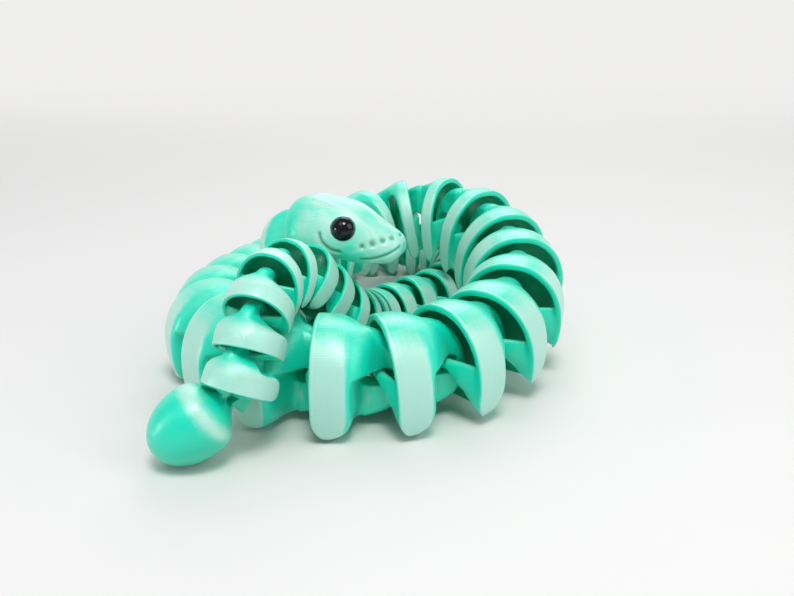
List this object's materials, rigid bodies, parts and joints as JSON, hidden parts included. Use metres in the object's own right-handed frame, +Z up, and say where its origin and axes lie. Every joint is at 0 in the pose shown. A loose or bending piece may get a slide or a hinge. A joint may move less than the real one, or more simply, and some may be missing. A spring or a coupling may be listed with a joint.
{
  "type": "articulated snake toy",
  "caption": "Flexible toy snake of cupped links hooked bar in ring, with a round-ended tail tip and a smooth head with domed eyes, lying in a loose coil.",
  "frame": {"origin": "middle of the coil on the surface it lies on", "axes": "+Z up, +X to the right and +Y away as seen from the tail tip side; the head points along +X and a little towards -Y"},
  "size_m": [0.1086, 0.1568, 0.0478],
  "materials": {
    "body": "silk pearl mint, fine layer lines",
    "eye": "polished black"
  },
  "bodies": {
    "tail_tip": {"tail_tip": "body"},
    "link_01": {"link_01": "body"},
    "link_02": {"link_02": "body"},
    "link_03": {"link_03": "body"},
    "link_04": {"link_04": "body"},
    "link_05": {"link_05": "body"},
    "link_06": {"link_06": "body"},
    "link_07": {"link_07": "body"},
    "link_08": {"link_08": "body"},
    "link_09": {"link_09": "body"},
    "link_10": {"link_10": "body"},
    "link_11": {"link_11": "body"},
    "link_12": {"link_12": "body"},
    "link_13": {"link_13": "body"},
    "link_14": {"link_14": "body"},
    "link_15": {"link_15": "body"},
    "link_16": {"link_16": "body"},
    "link_17": {"link_17": "body"},
    "link_18": {"link_18": "body"},
    "link_19": {"link_19": "body"},
    "link_20": {"link_20": "body"},
    "link_21": {"link_21": "body"},
    "link_22": {"link_22": "body"},
    "link_23": {"link_23": "body"},
    "link_24": {"link_24": "body"},
    "link_25": {"link_25": "body"},
    "link_26": {"link_26": "body"},
    "link_27": {"link_27": "body"},
    "link_28": {"link_28": "body"},
    "link_29": {"link_29": "body"},
    "link_30": {"link_30": "body"},
    "link_31": {"link_31": "body"},
    "link_32": {"link_32": "body"},
    "link_33": {"link_33": "body"},
    "link_34": {"link_34": "body"},
    "link_35": {"link_35": "body"},
    "link_36": {"link_36": "body"},
    "link_37": {"link_37": "body"},
    "link_38": {"link_38": "body"},
    "link_39": {"link_39": "body"},
    "link_40": {"link_40": "body"},
    "link_41": {"link_41": "body"},
    "link_42": {"link_42": "body"},
    "link_43": {"link_43": "body"},
    "link_44": {"link_44": "body"},
    "link_45": {"link_45": "body"},
    "link_46": {"link_46": "body"},
    "link_47": {"link_47": "body"},
    "head": {"head": "body", "eye_left": "eye", "eye_right": "eye"}
  },
  "joints": [
    {"name": "bend_01", "type": "hinge", "parent": "link_01", "child": "tail_tip", "pos_m": [-0.0271, -0.06762, 0.01528], "axis": [-0.4436, -0.7604, 0.4743], "range_deg": [-1, 5]},
    {"name": "bend_02", "type": "hinge", "parent": "link_02", "child": "link_01", "pos_m": [-0.02474, -0.06436, 0.02272], "axis": [-0.1659, -0.8188, 0.5495], "range_deg": [-3, 8]},
    {"name": "bend_03", "type": "hinge", "parent": "link_03", "child": "link_02", "pos_m": [-0.02309, -0.05994, 0.02981], "axis": [0.0086, -0.5943, 0.8042], "range_deg": [-8, 7]},
    {"name": "bend_04", "type": "hinge", "parent": "link_04", "child": "link_03", "pos_m": [-0.02115, -0.05323, 0.03474], "axis": [0.1416, -0.1334, 0.9809], "range_deg": [-8, 4]},
    {"name": "bend_05", "type": "hinge", "parent": "link_05", "child": "link_04", "pos_m": [-0.01872, -0.04503, 0.03551], "axis": [0.2617, 0.1363, 0.9555], "range_deg": [-8, 1]},
    {"name": "bend_06", "type": "hinge", "parent": "link_06", "child": "link_05", "pos_m": [-0.01499, -0.03753, 0.03342], "axis": [0.4871, 0.4911, 0.7222], "range_deg": [-8, 1]},
    {"name": "bend_07", "type": "hinge", "parent": "link_07", "child": "link_06", "pos_m": [-0.01146, -0.03228, 0.02747], "axis": [0.4791, 0.5301, 0.6996], "range_deg": [-6, 3]},
    {"name": "bend_08", "type": "hinge", "parent": "link_08", "child": "link_07", "pos_m": [-0.00793, -0.02725, 0.02124], "axis": [0.3226, 0.5175, 0.7926], "range_deg": [-6, 12]},
    {"name": "bend_09", "type": "hinge", "parent": "link_09", "child": "link_08", "pos_m": [-0.00465, -0.02104, 0.01585], "axis": [0.1215, 0.4097, 0.9041], "range_deg": [-6, 3]},
    {"name": "bend_10", "type": "hinge", "parent": "link_10", "child": "link_09", "pos_m": [-0.00235, -0.01328, 0.01203], "axis": [0.0898, 0.3082, 0.9471], "range_deg": [-1, 7.5]},
    {"name": "bend_11", "type": "hinge", "parent": "link_11", "child": "link_10", "pos_m": [0.00004, -0.00509, 0.00914], "axis": [0.066, 0.1059, 0.9922], "range_deg": [-15, 2]},
    {"name": "bend_12", "type": "hinge", "parent": "link_12", "child": "link_11", "pos_m": [0.00478, 0.00251, 0.00801], "axis": [0.0001, 0.0001, 1], "range_deg": [-1, 7.5]},
    {"name": "bend_13", "type": "hinge", "parent": "link_13", "child": "link_12", "pos_m": [0.01068, 0.00938, 0.00801], "axis": [-0.0015, -0.0014, 1], "range_deg": [-7.5, 2.5]},
    {"name": "bend_14", "type": "hinge", "parent": "link_14", "child": "link_13", "pos_m": [0.01729, 0.0156, 0.00803], "axis": [-0.0011, -0.0018, 1], "range_deg": [-5, 15]},
    {"name": "bend_15", "type": "hinge", "parent": "link_15", "child": "link_14", "pos_m": [0.02219, 0.02326, 0.00805], "axis": [-0.0008, -0.0019, 1], "range_deg": [-7.5, 2.5]},
    {"name": "bend_16", "type": "hinge", "parent": "link_16", "child": "link_15", "pos_m": [0.02564, 0.0317, 0.00806], "axis": [-0.0006, -0.002, 1], "range_deg": [-5, 2]},
    {"name": "bend_17", "type": "hinge", "parent": "link_17", "child": "link_16", "pos_m": [0.02848, 0.04039, 0.00808], "axis": [-0.0001, -0.0238, 0.9997], "range_deg": [-4, 10]},
    {"name": "bend_18", "type": "hinge", "parent": "link_18", "child": "link_17", "pos_m": [0.02852, 0.04966, 0.0083], "axis": [0.0087, -0.0215, 0.9997], "range_deg": [-5, 2]},
    {"name": "bend_19", "type": "hinge", "parent": "link_19", "child": "link_18", "pos_m": [0.02495, 0.05849, 0.00852], "axis": [0.0154, -0.0166, 0.9997], "range_deg": [-4, 0.5]},
    {"name": "bend_20", "type": "hinge", "parent": "link_20", "child": "link_19", "pos_m": [0.01831, 0.06566, 0.00874], "axis": [0.0399, -0.0144, 0.9991], "range_deg": [-1, 8]},
    {"name": "bend_21", "type": "hinge", "parent": "link_21", "child": "link_20", "pos_m": [0.00878, 0.06911, 0.00918], "axis": [0.0404, 0.0023, 0.9992], "range_deg": [-4, 0.5]},
    {"name": "bend_22", "type": "hinge", "parent": "link_22", "child": "link_21", "pos_m": [-0.00183, 0.0685, 0.00961], "axis": [0.0347, 0.0171, 0.9992], "range_deg": [-5, 4.5]},
    {"name": "bend_23", "type": "hinge", "parent": "link_23", "child": "link_22", "pos_m": [-0.01179, 0.06359, 0.01004], "axis": [0.0269, 0.0256, 0.9993], "range_deg": [-9, 10]},
    {"name": "bend_24", "type": "hinge", "parent": "link_24", "child": "link_23", "pos_m": [-0.0202, 0.05561, 0.01047], "axis": [0.019, 0.0301, 0.9994], "range_deg": [-5, 4.5]},
    {"name": "bend_25", "type": "hinge", "parent": "link_25", "child": "link_24", "pos_m": [-0.02667, 0.04539, 0.0109], "axis": [0.0133, 0.0315, 0.9994], "range_deg": [-7.5, 7.5]},
    {"name": "bend_26", "type": "hinge", "parent": "link_26", "child": "link_25", "pos_m": [-0.03155, 0.03381, 0.01133], "axis": [0.0101, 0.0314, 0.9995], "range_deg": [-15, 15]},
    {"name": "bend_27", "type": "hinge", "parent": "link_27", "child": "link_26", "pos_m": [-0.03554, 0.02137, 0.01176], "axis": [0.0081, 0.0307, 0.9995], "range_deg": [-7.5, 7.5]},
    {"name": "bend_28", "type": "hinge", "parent": "link_28", "child": "link_27", "pos_m": [-0.03901, 0.00827, 0.01219], "axis": [0.0046, 0.0248, 0.9997], "range_deg": [-5, 6]},
    {"name": "bend_29", "type": "hinge", "parent": "link_29", "child": "link_28", "pos_m": [-0.04156, -0.00549, 0.01254], "axis": [-0.0005, 0.0245, 0.9997], "range_deg": [-12, 10]},
    {"name": "bend_30", "type": "hinge", "parent": "link_30", "child": "link_29", "pos_m": [-0.04128, -0.01988, 0.0129], "axis": [-0.0096, 0.0219, 0.9997], "range_deg": [-5, 6]},
    {"name": "bend_31", "type": "hinge", "parent": "link_31", "child": "link_30", "pos_m": [-0.03533, -0.03343, 0.01325], "axis": [0, 0, 1], "range_deg": [-4, 0.5]},
    {"name": "bend_32", "type": "hinge", "parent": "link_32", "child": "link_31", "pos_m": [-0.02514, -0.04444, 0.01325], "axis": [0, 0, 1], "range_deg": [-1, 8]},
    {"name": "bend_33", "type": "hinge", "parent": "link_33", "child": "link_32", "pos_m": [-0.01152, -0.05072, 0.01325], "axis": [-0.0011, 0.0001, 1], "range_deg": [-4, 0.5]},
    {"name": "bend_34", "type": "hinge", "parent": "link_33", "child": "link_34", "pos_m": [0.00345, -0.05166, 0.01327], "axis": [-0.0625, -0.0193, 0.9979], "range_deg": [-1.5, 2]},
    {"name": "bend_35", "type": "hinge", "parent": "link_34", "child": "link_35", "pos_m": [0.01775, -0.04724, 0.01425], "axis": [-0.0526, -0.0448, 0.9976], "range_deg": [-4, 3]},
    {"name": "bend_36", "type": "hinge", "parent": "link_35", "child": "link_36", "pos_m": [0.02914, -0.03754, 0.01528], "axis": [-0.1123, -0.1713, 0.9788], "range_deg": [-1.5, 2]},
    {"name": "bend_37", "type": "hinge", "parent": "link_36", "child": "link_37", "pos_m": [0.03719, -0.02526, 0.01836], "axis": [-0.0527, -0.1947, 0.9794], "range_deg": [-2.5, 3]},
    {"name": "bend_38", "type": "hinge", "parent": "link_37", "child": "link_38", "pos_m": [0.04103, -0.01107, 0.02138], "axis": [0.0214, -0.1943, 0.9807], "range_deg": [-6, 5]},
    {"name": "bend_39", "type": "hinge", "parent": "link_38", "child": "link_39", "pos_m": [0.03942, 0.00355, 0.02431], "axis": [0.0826, -0.2214, 0.9717], "range_deg": [-2.5, 3]},
    {"name": "bend_40", "type": "hinge", "parent": "link_39", "child": "link_40", "pos_m": [0.03437, 0.01707, 0.02782], "axis": [0.0671, -0.0896, 0.9937], "range_deg": [-5, 1]},
    {"name": "bend_41", "type": "hinge", "parent": "link_40", "child": "link_41", "pos_m": [0.02571, 0.02865, 0.02945], "axis": [-0.0732, 0.0467, 0.9962], "range_deg": [-2, 10]},
    {"name": "bend_42", "type": "hinge", "parent": "link_41", "child": "link_42", "pos_m": [0.01384, 0.03621, 0.02822], "axis": [-0.1857, -0.0089, 0.9826], "range_deg": [-5, 1]},
    {"name": "bend_43", "type": "hinge", "parent": "link_42", "child": "link_43", "pos_m": [0.00048, 0.03558, 0.02569], "axis": [-0.0783, -0.0729, 0.9943], "range_deg": [-6, 0.5]},
    {"name": "bend_44", "type": "hinge", "parent": "link_43", "child": "link_44", "pos_m": [-0.00911, 0.02665, 0.02428], "axis": [0.0236, 0.0526, 0.9983], "range_deg": [-1, 12]},
    {"name": "bend_45", "type": "hinge", "parent": "link_44", "child": "link_45", "pos_m": [-0.01435, 0.01497, 0.02502], "axis": [0.0673, 0.1725, 0.9827], "range_deg": [-6, 0.5]},
    {"name": "bend_46", "type": "hinge", "parent": "link_45", "child": "link_46", "pos_m": [-0.01881, 0.00355, 0.02733], "axis": [0.021, 0.2409, 0.9703], "range_deg": [-1, 15]},
    {"name": "bend_47", "type": "hinge", "parent": "link_46", "child": "link_47", "pos_m": [-0.01983, -0.00822, 0.03028], "axis": [-0.2002, 0.3574, 0.9123], "range_deg": [-1, 1]},
    {"name": "head_turn", "type": "hinge", "parent": "link_47", "child": "head", "pos_m": [-0.01452, -0.01771, 0.03516], "axis": [0, 0, 1], "range_deg": [-1, 1]}
  ],
  "couplings": [
    {"joint": "bend_07", "follows": "bend_08", "ratio": -0.5},
    {"joint": "bend_09", "follows": "bend_08", "ratio": -0.5},
    {"joint": "bend_10", "follows": "bend_11", "ratio": -0.5},
    {"joint": "bend_12", "follows": "bend_11", "ratio": -0.5},
    {"joint": "bend_13", "follows": "bend_14", "ratio": -0.5},
    {"joint": "bend_15", "follows": "bend_14", "ratio": -0.5},
    {"joint": "bend_16", "follows": "bend_17", "ratio": -0.5},
    {"joint": "bend_18", "follows": "bend_17", "ratio": -0.5},
    {"joint": "bend_19", "follows": "bend_20", "ratio": -0.5},
    {"joint": "bend_21", "follows": "bend_20", "ratio": -0.5},
    {"joint": "bend_22", "follows": "bend_23", "ratio": -0.5},
    {"joint": "bend_24", "follows": "bend_23", "ratio": -0.5},
    {"joint": "bend_25", "follows": "bend_26", "ratio": -0.5},
    {"joint": "bend_27", "follows": "bend_26", "ratio": -0.5},
    {"joint": "bend_28", "follows": "bend_29", "ratio": -0.5},
    {"joint": "bend_30", "follows": "bend_29", "ratio": -0.5},
    {"joint": "bend_31", "follows": "bend_32", "ratio": -0.5},
    {"joint": "bend_33", "follows": "bend_32", "ratio": -0.5},
    {"joint": "bend_34", "follows": "bend_35", "ratio": -0.5},
    {"joint": "bend_36", "follows": "bend_35", "ratio": -0.5},
    {"joint": "bend_37", "follows": "bend_38", "ratio": -0.5},
    {"joint": "bend_39", "follows": "bend_38", "ratio": -0.5},
    {"joint": "bend_40", "follows": "bend_41", "ratio": -0.5},
    {"joint": "bend_42", "follows": "bend_41", "ratio": -0.5},
    {"joint": "bend_43", "follows": "bend_44", "ratio": -0.5},
    {"joint": "bend_45", "follows": "bend_44", "ratio": -0.5}
  ]
}
